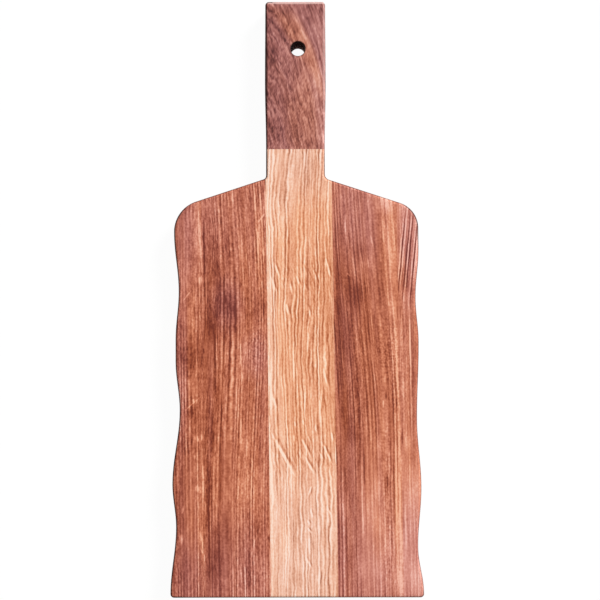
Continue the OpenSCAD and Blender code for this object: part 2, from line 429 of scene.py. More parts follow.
def mark(tree, plan, marks, core=BAND_CORE):
    """Sums soft streaks: (across, along, half width, half length, change, and any lean in degrees)."""
    total = 0
    for across, along, half_w, half_l, change, *lean in marks:
        turn = (0, 0, radians(sum(lean)))
        local = add(tree, "ShaderNodeMapping",
                    {"Vector": plan, "Location": (across, along, BOARD_T), "Rotation": turn,
                     "Scale": (half_w, half_l, MARK_DEPTH)}, vector_type="TEXTURE")
        depth = add(tree, "ShaderNodeTexGradient", {"Vector": local.outputs[0]},
                    gradient_type="SPHERICAL").outputs["Fac"]
        amount = add(tree, "ShaderNodeMapRange", {"Value": depth, "From Max": 1 - core, "To Max": change},
                     interpolation_type="SMOOTHSTEP").outputs[0]
        total = add(tree, "ShaderNodeMath", {0: total, 1: amount}, operation="ADD").outputs[0]
    return total


def shaded(flecks):
    """Ray flecks, each with a darker line of painted shade that runs along its right side."""
    both = []
    for across, along, half_w, half_l, change, *lean in flecks:
        aside = SHADE_ASIDE * half_w
        turn = radians(sum(lean))
        shade = (across + aside * cos(turn), along + aside * sin(turn))
        both.append((across, along, half_w, half_l, change, *lean))
        both.append((*shade, half_w, half_l, -SHADE_SHARE * change, *lean))
    return both


def wander(tree, vector, across, along, reach):
    """Lets the grain wander sideways by up to half the reach, over the given lengths."""
    local = add(tree, "ShaderNodeMapping", {"Vector": vector, "Scale": (1 / across, 1 / along, 1 / across)})
    noise = add(tree, "ShaderNodeTexNoise", {"Vector": local.outputs[0], "Scale": 1, "Detail": 1})
    centred = add(tree, "ShaderNodeVectorMath", {0: noise.outputs["Color"], 1: (0.5, 0.5, 0.5)},
                  operation="SUBTRACT")
    return add(tree, "ShaderNodeVectorMath", {0: centred.outputs[0], 1: (reach, 0, 0), 2: vector},
               operation="MULTIPLY_ADD").outputs[0]


def texture_of(tree, flow, rings, layers, pores):
    """Even grain round a tone of zero: beaded growth lines, softer streaks, dark pores and pale dashes."""
    spacing, strength = rings
    wave = add(tree, "ShaderNodeTexWave",
               {"Vector": flow, "Scale": 1 / (WAVES_PER_UNIT * spacing)}).outputs["Fac"]
    swing = add(tree, "ShaderNodeMath", {0: wave, 1: strength, 2: -strength / 2},
                operation="MULTIPLY_ADD").outputs[0]
    beads = weave(tree, flow, BEADS, 1)
    texture = add(tree, "ShaderNodeMath", {0: swing, 1: beads, 2: weave(tree, flow, layers, 0)},
                  operation="MULTIPLY_ADD").outputs[0]
    across, along, least, change = pores
    dashes = weave(tree, flow, ((across, along, 1),), 0.5)
    dark = (least, least + PORE_SOFTNESS, -change)
    pale = (1 - least, 1 - least - PORE_SOFTNESS, PALE_DASH_SHARE * change)
    for start, end, amount in (dark, pale):
        dash = add(tree, "ShaderNodeMapRange",
                   {"Value": dashes, "From Min": start, "From Max": end, "To Min": 0, "To Max": amount},
                   interpolation_type="SMOOTHSTEP").outputs[0]
        texture = add(tree, "ShaderNodeMath", {0: texture, 1: dash}, operation="ADD").outputs[0]
    return texture


def painted_shade_of(tree, board, shade_places, shade_streaks, spots):
    """Share of painted shade: a line round the arris and streaks, fainter on the sides, and dark spots."""
    normal = add(tree, "ShaderNodeTexCoord").outputs["Normal"]
    facing = add(tree, "ShaderNodeSeparateXYZ", {0: normal}).outputs["Z"]
    level = add(tree, "ShaderNodeMath", {0: facing}, operation="ABSOLUTE").outputs[0]
    shade_gain = add(tree, "ShaderNodeMath", {0: mark(tree, board, shade_places, EDGE_LIGHT_CORE), 1: MOST_SHADE_GAIN},
               operation="MINIMUM").outputs[0]
    start, end, most = [
        add(tree, "ShaderNodeMath", {0: shade_gain, 1: rise, 2: least}, operation="MULTIPLY_ADD").outputs[0]
        for rise, least in (ARRIS_START, ARRIS_END, ARRIS_DARKEST)]
    line = add(tree, "ShaderNodeMapRange",
               {"Value": level, "From Min": start, "From Max": end, "To Min": 0, "To Max": most}).outputs[0]
    edge = add(tree, "ShaderNodeMath", {0: line, 1: mark(tree, board, shade_streaks, SHADE_CORE)},
               operation="MAXIMUM").outputs[0]
    side = add(tree, "ShaderNodeMapRange",
               {"Value": level, "From Max": SIDE_LEVEL, "To Min": SIDE_SHADE_SHARE, "To Max": 1}).outputs[0]
    return add(tree, "ShaderNodeMath", {0: edge, 1: side, 2: mark(tree, board, spots, SHADE_CORE)},
               operation="MULTIPLY_ADD", use_clamp=True).outputs[0]


def wood(name, grain, tones, base, rings, layers, pores, clouds=(), marks=(), flecks=(), patches=(), calm=(),
         blush=0, blush_marks=(), shades=(), highlights=(), shade_places=(), shade_streaks=(), shade_spots=()):
    """An oiled, sanded wood whose tone and hue both come from its grain and from the marks in the stave."""
    material = bpy.data.materials.new(OILED + name)
    material.use_nodes = True
    tree = material.node_tree
    tree.nodes.clear()
    place = add(tree, "ShaderNodeTexCoord").outputs["Object"]
    board = add(tree, "ShaderNodeMapping",
                {"Vector": place, "Location": (0, BOARD_L / 2, 0), "Scale": (1 / MM,) * 3}).outputs[0]
    plan, flow = grain(tree, board)

    # Tone: even grain, fainter or stronger in places, then broad clouds
    strength = add(tree, "ShaderNodeMath", {0: 1, 1: mark(tree, plan, calm, CALM_CORE)},
                   operation="ADD").outputs[0]
    even = texture_of(tree, flow, rings, layers, pores)
    texture = add(tree, "ShaderNodeMath", {0: even, 1: strength}, operation="MULTIPLY").outputs[0]
    tone = add(tree, "ShaderNodeMath", {0: texture, 1: base}, operation="ADD").outputs[0]
    for where, spots in ((plan, clouds), (board, shades)):
        tone = add(tree, "ShaderNodeMath", {0: tone, 1: mark(tree, where, spots, CLOUD_CORE)},
                   operation="ADD").outputs[0]
    # Marks break up into lines, as bands of the grain do
    bands = mark(tree, plan, marks)
    lines = weave(tree, flow, MARK_LINES, 1)
    tone = add(tree, "ShaderNodeMath", {0: bands, 1: lines, 2: tone}, operation="MULTIPLY_ADD").outputs[0]
    crisp = mark(tree, plan, flecks, FLECK_CORE)
    tone = add(tree, "ShaderNodeMath", {0: tone, 1: crisp}, operation="ADD").outputs[0]
    for lean, layer, spots in patches:
        leaning = add(tree, "ShaderNodeMapping",
                      {"Vector": plan, "Rotation": (0, 0, radians(-lean))}).outputs[0]
        dashes = weave(tree, leaning, (layer,), 0)
        tone = add(tree, "ShaderNodeMath", {0: dashes, 1: mark(tree, plan, spots), 2: tone},
                   operation="MULTIPLY_ADD").outputs[0]

    # Colour: warm or pink tones, then painted highlights on edges and painted shade
    drift = weave(tree, flow, HUE_LAYERS, blush)
    hue = add(tree, "ShaderNodeMath", {0: drift, 1: mark(tree, plan, blush_marks)},
              operation="ADD").outputs[0]
    plain, blushed = [add(tree, "ShaderNodeValToRGB", {"Fac": tone}, stops=stops).outputs[0]
                      for stops in tones]
    colour = add(tree, "ShaderNodeMix", {0: hue, 6: plain, 7: blushed}, data_type="RGBA").outputs[2]
    # Painted highlight on edges that face the key light
    if highlights:
        highlight = mark(tree, board, highlights, EDGE_LIGHT_CORE)
        colour = add(tree, "ShaderNodeMix", {0: highlight, 6: colour, 7: (*linear(EDGE_HIGHLIGHT), 1)},
                     data_type="RGBA").outputs[2]
    # Painted shade: darker on the arris, on the sides and on the wall of the hole
    shade_amount = painted_shade_of(tree, board, shade_places, shade_streaks, shade_spots)
    colour = add(tree, "ShaderNodeMix", {0: shade_amount, 6: colour, 7: (*linear(PAINTED_SHADE), 1)},
                 data_type="RGBA").outputs[2]

    # Surface
    bump = add(tree, "ShaderNodeBump",
               {"Strength": RELIEF_STRENGTH, "Distance": RELIEF * MM, "Height": texture})
    rough = add(tree, "ShaderNodeMapRange",
                {"Value": texture, "From Min": -GRAIN_REACH, "From Max": GRAIN_REACH,
                 "To Min": PORE_ROUGHNESS, "To Max": FIBRE_ROUGHNESS}).outputs[0]
    rough = add(tree, "ShaderNodeMath", {0: shade_amount, 1: SHADE_ROUGHNESS, 2: rough},
                operation="MULTIPLY_ADD", use_clamp=True)
    shader = add(tree, "ShaderNodeBsdfPrincipled",
                 {"Base Color": colour, "Roughness": rough.outputs[0], "Normal": bump.outputs[0],
                  "Specular IOR Level": OIL_SPECULAR})
    add(tree, "ShaderNodeOutputMaterial", {"Surface": shader.outputs[0]})
    return material


# How the grain strays sideways: (over this far across, over this far along, reach), in millimetres
STRAIGHT = ((12, 500, 7), (9, 70, 0.6), (5, 10, 0.4))
WAVY = ((25, 120, 9), (8, 40, 2.4), (5, 10, 2))
ARCHED = ((9, 24, 3), (4, 10, 1.6))
# The same for the places of marks, and for the handle's arches as a whole
MARK_SWAY = (4, 16, 1)
ARCH_SWAY = (20, 30, 3)
# The heart that the handle's grain arches round: its distance left of the middle and below the joint, how
# much longer than wide the arches are, and the radius at which distances round it are measured
HEART_LEFT = 40
HEART_BELOW = 40
ARCH_STRETCH = 2.75
ARCH_RADIUS = 100


def stave_grain(tree, board, swerves=(), bends=STRAIGHT):
    """Grain along the glue lines: across from the middle of the glue-up, and along from the foot."""
    middle = -STAVE_SHIFT * cos(STAVE_SKEW)
    plan = add(tree, "ShaderNodeMapping",
               {"Vector": board, "Location": (middle, 0, 0), "Rotation": (0, 0, -STAVE_SKEW)}).outputs[0]
    aside = add(tree, "ShaderNodeCombineXYZ", {0: mark(tree, plan, swerves, CLOUD_CORE)}).outputs[0]
    flow = add(tree, "ShaderNodeVectorMath", {0: plan, 1: aside}, operation="ADD").outputs[0]
    for bend in bends:
        flow = wander(tree, flow, *bend)
    return wander(tree, plan, *MARK_SWAY), flow


def handle_grain(tree, board):
    """Grain in long arches round a heart low on the left: distance from it, distance round it, height."""
    bent = wander(tree, board, *ARCH_SWAY)
    heart = add(tree, "ShaderNodeMapping",
                {"Vector": bent, "Location": (-HEART_LEFT, JOINT - HEART_BELOW, 0),
                 "Scale": (1, ARCH_STRETCH, 1)},
                vector_type="TEXTURE").outputs[0]
    parts = add(tree, "ShaderNodeSeparateXYZ", {0: heart}).outputs
    flat = add(tree, "ShaderNodeVectorMath", {0: heart, 1: (1, 1, 0)}, operation="MULTIPLY").outputs[0]
    ring = add(tree, "ShaderNodeVectorMath", {0: flat}, operation="LENGTH").outputs["Value"]
    turn = add(tree, "ShaderNodeMath", {0: parts["Y"], 1: parts["X"]}, operation="ARCTAN2").outputs[0]
    along = add(tree, "ShaderNodeMath", {0: turn, 1: ARCH_RADIUS}, operation="MULTIPLY").outputs[0]
    plan = add(tree, "ShaderNodeCombineXYZ", {0: ring, 1: along, 2: parts["Z"]}).outputs[0]
    flow = plan
    for bend in ARCHED:
        flow = wander(tree, flow, *bend)
    return plan, flow


# How strong the growth lines are along their length, and the lines that marks break into
BEADS = ((6, 14, 0.8), (4, 160, 3.6))
MARK_LINES = ((2, 60, 2),)
# Grain of the oaks: lines as long as the stave, then shorter and shorter dashes, down to specks.
# Real pores are about 0.3 mm wide. They are drawn 1 mm wide, so that they show.
LEFT_LAYERS = ((1, 300, 0.46), (1, 40, 0.42), (1, 12, 0.4), (1, 4, 0.46), (1, 1.5, 0.44))
RIGHT_LAYERS = ((1.1, 400, 0.34), (1, 60, 0.42), (1, 16, 0.46), (1, 5, 0.46), (1, 1.6, 0.4))
RIGHT_EDGE_SHARE = 0.9
RIGHT_EDGE_LAYERS = tuple((across, along, RIGHT_EDGE_SHARE * weight)
                          for across, along, weight in RIGHT_LAYERS)
CENTRE_LAYERS = ((1.2, 400, 0.3), (1.1, 70, 0.74), (1, 18, 0.5), (1, 5, 0.5), (1, 1.6, 0.36))
# Growth lines: (spacing in millimetres, swing of tone)
LEFT_RINGS = (2.3, 0.26)
RIGHT_RINGS = (3.1, 0.2)
RIGHT_EDGE_RINGS = (3.1, 0.18)
CENTRE_RINGS = (2.6, 0.38)
# Pores: (width, length, least value of the noise that makes one, change of tone)
OAK_PORES = (1, 5, 0.62, 0.1)

# Broad light and dark areas, bands that break into lines, and crisp lines and ray flecks of each stave.
# A mark is (across, along, half width, half length, change of tone), then its lean in degrees if it leans.
LEFT_EDGE_CLOUDS = (
    (-84, 178, 18, 20, -0.34), (-76, 265, 5, 50, 0.2), (-84, 212, 12, 18, 0.06), (-77, 75, 5, 46, 0.1),
    (-92, 18, 16, 34, -0.16), (-93, 80, 9, 60, -0.14), (-84, 140, 10, 14, -0.07), (-80, 85, 10, 40, 0.1),
    (-89, 240, 7, 30, 0.14), (-89, 165, 8, 40, 0.14), (-80, 40, 6, 30, 0.08), (-79, 90, 6, 18, -0.1),
    (-80, 288, 6, 24, 0.1), (-92, 200, 7, 24, -0.1), (-89, 114, 6, 14, -0.16), (-90, 34, 6, 14, -0.04),
    (-83, 138, 5, 6, -0.2, -49), (-79, 254, 6, 12, -0.18), (-79, 214, 6, 12, -0.18), (-79, 174, 6, 14, 0.2),
    (-79, 100, 6, 22, 0.16),
)
LEFT_EDGE_MARKS = ((-78, 119, 6, 4, 0.2), (-88, 99, 1.2, 15, 0.2), (-79, 212, 5, 16, 0.12))
LEFT_EDGE_LINES = (
    (-75, 237, 1.6, 5, 0.4), (-74.9, 266, 1.4, 34, 0.4, 3), (-74.5, 82, 0.9, 27, 0.36),
    (-74, 15, 0.9, 18, 0.38), (-75.7, 42, 0.9, 11, 0.42, 8), (-79.2, 81.5, 1.7, 3.5, 0.42),
    (-91, 44, 1.5, 5, 0.42), (-90, 66, 1.2, 4, 0.38, -15), (-75, 120, 1.6, 3, 0.36),
    (-78, 118, 1.2, 2.5, 0.32), (-85, 226, 0.8, 7, 0.32, -38), (-81.7, 144.8, 0.8, 10, 0.32, -49),
    (-81, 147, 1.4, 1.8, 0.42), (-76.6, 80.5, 2.2, 4, 0.26), (-77, 46, 1.8, 7, 0.2),
    (-75.4, 34.6, 0.9, 5, 0.3, 25), (-74.2, 30, 0.8, 5, 0.3, -10), (-73.8, 52, 0.9, 60, 0.3),
)
LEFT_CLOUDS = (
    (-56, 219, 15, 20, -0.4), (-67, 203, 9, 20, -0.36), (-32, 217, 12, 14, -0.16), (-66, 268, 9, 44, -0.18),
    (-42, 255, 10, 30, 0.1), (-64, 135, 9, 55, -0.14), (-47, 140, 8, 60, 0.12), (-40, 85, 16, 26, 0.18),
    (-66, 28, 8, 48, -0.26), (-36, 45, 14, 20, -0.12), (-71, 130, 5, 130, -0.16), (-62, 35, 8, 45, -0.1),
    (-55, 262, 7, 26, -0.2), (-56, 195, 7, 18, -0.2), (-56, 42, 7, 26, -0.14), (-48, 70, 8, 40, 0.08),
    (-28, 134, 5, 18, -0.1), (-28, 94, 5, 16, 0.1), (-70, 222, 4, 30, -0.2), (-42, 25, 5, 30, -0.16),
    (-28, 265, 5, 36, 0.16), (-28, 292, 5, 16, 0.16), (-60, 272, 8, 26, 0.12), (-60, 122, 8, 22, 0.2),
    (-70, 22, 5, 26, -0.16), (-28, 14, 4, 16, 0.16), (-63, 205, 5, 40, -0.18), (-42, 114, 5, 14, 0.2),
    (-35, 258, 5, 20, 0.14), (-70, 268, 4, 16, 0.18), (-63, 250, 7, 34, -0.2), (-60, 235, 7, 12, -0.2),
    (-49, 204, 5, 22, -0.28), (-56, 184, 5, 20, 0.22), (-63, 184, 5, 20, -0.14), (-42, 184, 5, 22, 0.16),
    (-67, 104, 7, 20, 0.22), (-42, 64, 5, 18, -0.16), (-42, 14, 6, 16, -0.26), (-35, 254, 5, 12, -0.2),
    (-28, 214, 4, 12, -0.2), (-56, 78, 5, 14, 0.18), (-60, 256, 7, 10, 0.2), (-67, 66, 7, 36, 0.12),
    (-63, 94, 4, 10, 0.14),
)
# Stripes by the neck: pale lines and dark lines by turns
NECK_STRIPES = tuple((-33 + 1.9 * k, 296, 1.3, 16, -0.16 if k % 2 else 0.3) for k in range(5))
LEFT_MARKS = (
    *NECK_STRIPES, (-72, 248, 1.6, 40, -0.2), (-67, 126, 2.6, 26, -0.12), (-57.6, 190, 1.3, 30, -0.18),
    (-69, 72, 3, 54, -0.12), (-62, 84, 1.3, 32, -0.22),
)
LEFT_LINES = (
    (-72.5, 270, 1, 4, -0.6), (-72, 260, 1.1, 32, -0.4, 1), (-61.9, 257, 0.9, 20, -0.34),
    (-63.4, 184, 0.9, 22, 0.36), (-64.8, 184, 0.9, 22, -0.34), (-64.5, 158, 0.9, 9, -0.34),
    (-60, 137, 1, 8, -0.46), (-60, 121, 0.9, 14, -0.26), (-66.5, 116, 1.3, 18, -0.3),
    (-45.2, 176, 0.9, 26, 0.38, 1), (-45.6, 118, 0.9, 18, 0.36), (-47.3, 118, 0.9, 18, -0.26),
    (-53.6, 178, 0.9, 4, -0.36), (-73, 184, 0.9, 2.6, -0.5), (-31, 266, 1.3, 17, 0.42),
    (-27.5, 258, 1.2, 4, 0.42, 15), (-26.6, 272, 0.9, 14, -0.26), (-28.5, 284, 1, 6, 0.4, -40),
    (-50, 296, 0.9, 14, 0.26), (-44, 14, 0.9, 19, 0.36), (-47, 16, 0.9, 20, 0.28),
    (-37.5, 38, 0.9, 9, 0.32, -12), (-26.6, 49, 0.9, 4, 0.36), (-25.7, 44, 0.8, 4, -0.5),
    (-68.2, 102, 1.5, 46, -0.24, -1.4), (-70.5, 60, 1.2, 60, -0.34), (-61, 120, 1.5, 46, -0.28, -0.8),
    (-63.5, 45, 1.5, 26, -0.22), (-64.6, 172, 1.2, 36, -0.26, -1.4),
)
# Where the grain is fainter or stronger, as a share of its strength
LEFT_EDGE_CALM = ((-86, 50, 9, 70, -0.4), (-89, 250, 8, 60, -0.3))
LEFT_CALM = ((-58, 62, 9, 84, -0.36), (-69, 20, 7, 40, -0.36), (-69, 185, 6, 36, -0.3))
CENTRE_CALM = ((-17, 175, 10, 60, -0.18), (10, 215, 9, 70, 0.26), (-16, 328, 9, 26, -0.3))
RIGHT_CALM = ((50, 52, 12, 84, -0.34), (63, 70, 5, 84, 0.3), (70, 160, 5, 40, 0.4),
              (50, 262, 12, 34, -0.2), (42, 162, 10, 52, 0.35))
RIGHT_EDGE_CALM = ((82, 46, 16, 90, -0.24), (77, 178, 6, 60, 0.3))
# Where the grain swerves aside, in millimetres in place of a change of tone
LEFT_SWERVES = ((-42, 222, 120, 170, -6),)
CENTRE_CLOUDS = (
    (-24.5, 170, 4.5, 300, 0.26), (-23, 75, 7, 50, 0.26), (-21, 275, 6, 50, 0.24), (12, 235, 9, 50, -0.14),
    (-2, 205, 7, 36, -0.08), (-9, 258, 8, 34, -0.09), (13, 185, 14, 90, -0.1), (21, 190, 5, 90, -0.16),
    (15, 84, 11, 18, 0.2), (0, 30, 44, 66, 0.06), (24.4, 60, 2, 80, 0.23), (5, 222, 7, 18, -0.16),
    (24.4, 270, 1.6, 70, 0.14), (15, 62, 6, 18, 0.16), (14, 172, 6, 30, 0.2), (12, 320, 8, 18, -0.1),
    (-14, 140, 6, 200, 0.1), (-5, 150, 5, 180, -0.07), (5, 246, 5, 16, -0.16), (5, 74, 5, 30, 0.1),
    (-22, 164, 5, 40, 0.28), (-22, 234, 4, 14, 0.18), (-14, 280, 6, 30, 0.2), (5, 244, 6, 18, -0.2),
    (-14, 174, 5, 14, -0.18), (-9, 82, 9, 22, 0.2), (14, 216, 5, 28, 0.14), (21, 54, 4, 34, 0.16),
    (14, 74, 6, 16, 0.16), (14, 134, 5, 14, 0.16), (-19, 326, 6, 20, 0.3), (-10, 330, 5, 12, 0.12),
    (5, 114, 5, 10, -0.18), (5, 234, 5, 8, -0.16), (-5, 14, 6, 12, -0.18), (21, 276, 4, 12, 0.16),
)
CENTRE_FLECKS = shaded((
    (-18, 246, 0.9, 6, 0.4, 16), (-20.2, 233.6, 1.1, 9, 0.5, 20), (-16.5, 242, 0.8, 7, 0.32, 18),
    (-6.9, 230.6, 0.9, 7.5, 0.42, 12), (-1.9, 237, 0.9, 6.5, 0.46, 21), (11.4, 239, 0.9, 10, 0.56, 18),
    (21.2, 245.4, 1, 10, 0.56, 14), (21.9, 226.8, 0.9, 5, 0.4, 8), (-10.1, 215, 1.1, 5.5, 0.6, 12),
    (6.7, 212, 0.9, 7, 0.52, 11), (-14.7, 106.4, 1.5, 23, 0.6, 28), (2.4, 111, 1.1, 11, 0.6, 26),
    (4.9, 98, 1.1, 9, 0.62, 28), (4.6, 117.6, 0.9, 4, 0.4, 18), (18.1, 106.8, 1.1, 11, 0.62, 25),
    (22, 118.7, 1, 4.5, 0.44, 8), (13.8, 104.9, 0.8, 5, 0.32, 28), (5, 78.9, 0.9, 5.5, 0.44, -20),
    (-6.1, 118, 1, 4.5, 0.44, 2), (0.9, 129.4, 0.9, 3, 0.44, 10), (-5.4, 128.5, 0.9, 3, 0.4, 12),
    (10, 126, 0.9, 3.6, 0.4, 3), (6, 62.2, 0.9, 4.4, 0.4, 16), (18.8, 64, 0.9, 5, 0.4, 24),
    (-5.3, 173, 1, 27, 0.46, 1), (6.3, 194.5, 0.9, 12.5, 0.42, -5), (17.9, 162.8, 0.9, 9, 0.5, 13),
    (20, 182, 0.8, 12, 0.36, 1), (14, 144.5, 1.3, 11, 0.48, -5), (2.4, 146, 0.9, 14, 0.42, -2),
    (6.3, 150, 0.9, 12, 0.36, -1), (-23.9, 162, 1.4, 9, 0.3), (-21.6, 147.5, 1.3, 10, 0.4, 18),
    (4, 38.5, 1.5, 8.5, 0.44, 4), (4.3, 49.5, 0.9, 3.4, 0.5, 38), (3.5, 25.5, 0.9, 5.5, 0.44, 26),
    (3.8, 55.5, 0.9, 3, 0.4, 30), (10.7, 14.8, 1.2, 7, 0.44, -6), (-1, 40, 0.8, 10, -0.36),
))
CENTRE_SWERVES = ((0, 345, 60, 60, -3),)
# Bands where the small ray flecks slant across the lines
CENTRE_PATCHES = ((18, (1.2, 8, 0.6), ((0, 240, 80, 24, 1), (0, 104, 80, 20, 1))),
                  (-6, (1.4, 24, 0.5), ((0, 334, 80, 34, 1),)))
# Places where the red oak is flecked with specks
SPECKS = (1.2, 1.5, 0.6)
LEFT_PATCHES = ((0, SPECKS, ((-33, 188, 11, 28, 1),)),)
RIGHT_PATCHES = ((0, SPECKS, ((66, 184, 16, 34, 1),)),)
RIGHT_CLOUDS = (
    (33, 195, 14, 62, -0.34), (33, 138, 10, 34, -0.26), (45, 225, 12, 18, -0.26), (30, 255, 8, 48, -0.26),
    (69, 265, 6, 52, 0.26), (71, 190, 4, 120, 0.15), (58, 45, 22, 76, 0.22), (71, 70, 5, 90, 0.4),
    (35, 60, 9, 60, -0.14), (50, 175, 8, 50, -0.1), (62, 297, 10, 16, 0.15), (28, 215, 4, 16, -0.2),
    (28, 100, 4, 20, -0.2), (64, 235, 6, 46, 0.22), (70, 150, 4, 36, 0.16), (46, 256, 8, 12, -0.18),
    (62, 234, 7, 28, -0.2), (41, 125, 7, 45, -0.18), (32, 62, 7, 24, 0.24), (50, 66, 5, 22, 0.14),
    (62, 120, 6, 50, 0.16), (70, 150, 5, 20, -0.16), (71, 12, 6, 22, 0.32), (68, 294, 7, 14, 0.24),
    (42, 156, 5, 14, -0.18), (35, 214, 4, 12, 0.16), (70, 216, 4, 14, 0.12), (56, 82, 4, 18, 0.18),
    (35, 44, 4, 20, 0.16), (40, 226, 8, 44, -0.24), (49, 204, 5, 20, -0.28), (63, 274, 5, 14, 0.26),
    (63, 114, 4, 9, -0.2), (63, 94, 4, 9, 0.22), (70, 150, 5, 44, -0.16), (28, 156, 4, 14, -0.2),
    (28, 236, 4, 16, -0.18), (35, 124, 5, 20, -0.14), (56, 112, 5, 12, 0.2), (42, 22, 5, 18, 0.16),
    (52, 16, 7, 12, 0.06), (40, 262, 7, 18, -0.14), (42, 174, 5, 12, -0.14), (60, 296, 16, 12, 0.12),
    (28, 54, 4, 12, -0.14), (70, 114, 4, 10, -0.14), (49, 188, 5, 16, -0.1),
)
RIGHT_MARKS = (
    (37, 238, 2.4, 5, -0.2), (69.5, 255, 2.4, 20, 0.02), (71.5, 192, 4, 15, 0.1), (33, 60, 5, 60, -0.1),
)
RIGHT_LINES = (
    (34.9, 272, 0.9, 19, 0.42, 2), (41, 245, 0.9, 13, 0.4, 6), (46.6, 251, 0.9, 10, 0.4, 8),
    (51.6, 248.6, 0.8, 6, 0.34, 8), (54.7, 265, 0.8, 7, 0.26, 10), (36.6, 240, 0.9, 2.6, 0.4, 40),
    (44, 70, 0.9, 44, 0.38), (45.6, 95, 0.9, 19, -0.38), (63.1, 94, 1, 21, -0.38), (65, 98, 0.9, 17, 0.28),
    (67.7, 78, 0.9, 36, -0.24), (65.5, 20, 0.9, 23, 0.3), (26.4, 44, 1.1, 50, -0.38),
    (30, 42, 0.9, 46, 0.16), (53.1, 175, 0.8, 22, 0.28, 6.6), (41.9, 155.5, 0.9, 7, 0.34, 10),
    (44.3, 192, 0.9, 15, -0.28, 4), (63.2, 148.5, 0.9, 4.4, -0.44), (61, 142.5, 0.9, 3.4, 0.42),
)
RIGHT_SWERVES = ((42, 330, 66, 220, 11),)
# Steep grain at the upper right: dark lines and pale lines by turns
STEEP_LINES = tuple((75.4 + 1.6 * k, 250 + 5 * (k % 3), 1, 44, -0.58 if k % 2 else 0.46, -6.5)
                    for k in range(9))
RIGHT_EDGE_CLOUDS = (
    (82, 235, 14, 16, -0.16), (86, 175, 6, 50, -0.1), (77, 150, 6, 110, 0.03), (80, 70, 14, 70, 0.14),
    (86, 12, 9, 20, 0.36), (80, 16, 7, 24, 0.14), (82, 75, 7, 36, 0.12), (78, 292, 6, 14, 0.2),
    (78, 222, 5, 14, 0.14), (86, 236, 5, 14, 0.26), (86, 276, 5, 12, 0.14), (86, 86, 5, 22, 0.16),
    (78, 114, 5, 12, 0.18), (86, 12, 6, 14, -0.12), (78, 262, 5, 16, -0.12),
)
RIGHT_EDGE_LINES = (
    *STEEP_LINES, (82, 182, 0.9, 34, 0.4), (74.8, 182, 0.8, 34, 0.34), (74.7, 118, 0.9, 9, -0.44),
    (82.5, 98, 0.9, 24, -0.22), (74.6, 62, 0.8, 30, -0.2), (75.8, 45, 0.9, 44, 0.22),
)
# In the handle a place is a distance from the heart and a distance round it
HANDLE_MARKS = (
    (63, 78, 5, 52, 0.06, 8.3), (65.5, 76, 2, 30, 0.12, 4), (58.5, 116, 1.2, 24, -0.14, 8),
)

# Where the painted shade on the arris is stronger: both sides, the foot and the shoulders, and the left of
# the grip
EDGE_SHADE_PLACES = ((-94, 160, 14, 260, 0.8), (-50, 0, 90, 8, 0.5), (60, 0, 60, 8, 0.3),
              (0, 292, 140, 50, 0.6), (-22, 330, 5, 40, 0.5), (92, 160, 14, 260, 0.4))
GRIP_SHADE_PLACES = ((-22, 395, 6, 120, 1),)

# Where the pink tones of each oak take the place of the warm ones, and how far
LEFT_EDGE_BLUSH = ((-88, 280, 16, 70, 0.6), (-84, 6, 24, 54, 0.66), (-90, 180, 7, 90, 0.7))
LEFT_BLUSH = ((-56, 300, 50, 70, 0.4), (-50, 0, 50, 80, 0.6), (-56, 219, 18, 28, 0.6),
              (-35, 180, 14, 24, 0.5))
CENTRE_BLUSH = ((0, 24, 70, 120, 0.95), (0, 336, 70, 60, 0.8), (-3, 170, 14, 90, -0.4),
                (-22, 200, 6, 130, 0.5), (-14, 44, 6, 28, -0.4), (14, 174, 6, 16, -0.3),
                (-14, 290, 14, 26, 0.3))
RIGHT_BLUSH = ((44, 290, 34, 64, 0.7), (50, 0, 50, 90, 0.7), (32, 185, 10, 60, 0.4),
               (28, 40, 6, 70, 0.5), (36, 92, 7, 70, 0.4), (56, 44, 8, 32, -0.4),
               (66, 296, 10, 14, 0.4), (42, 220, 7, 40, 0.3))
RIGHT_EDGE_BLUSH = ((84, 274, 16, 80, 0.9), (80, 10, 18, 100, 1), (79, 240, 4, 24, -0.4))


def red_oak(slot, rings, layers, base, swerves=(), **figure):
    """Oiled red oak, rift sawn: salmon to brown lines with short dark pores and a soft satin face."""
    grain = partial(stave_grain, swerves=swerves)
    return wood(slot, grain, (RED_OAK_WARM, RED_OAK_PINK), base, rings, layers, OAK_PORES,
                shade_places=EDGE_SHADE_PLACES, **figure)


def pale_oak(slot):
    """Oiled pale oak, quarter sawn: cream and tan lines crossed by slanting ray flecks."""
    grain = partial(stave_grain, swerves=CENTRE_SWERVES, bends=WAVY)
    base = 0.52
    return wood(slot, grain, (PALE_OAK_WARM, PALE_OAK_PINK), base, CENTRE_RINGS, CENTRE_LAYERS, OAK_PORES,
                clouds=CENTRE_CLOUDS, flecks=CENTRE_FLECKS, patches=CENTRE_PATCHES, calm=CENTRE_CALM,
                blush=0.06, blush_marks=CENTRE_BLUSH, shade_places=EDGE_SHADE_PLACES)


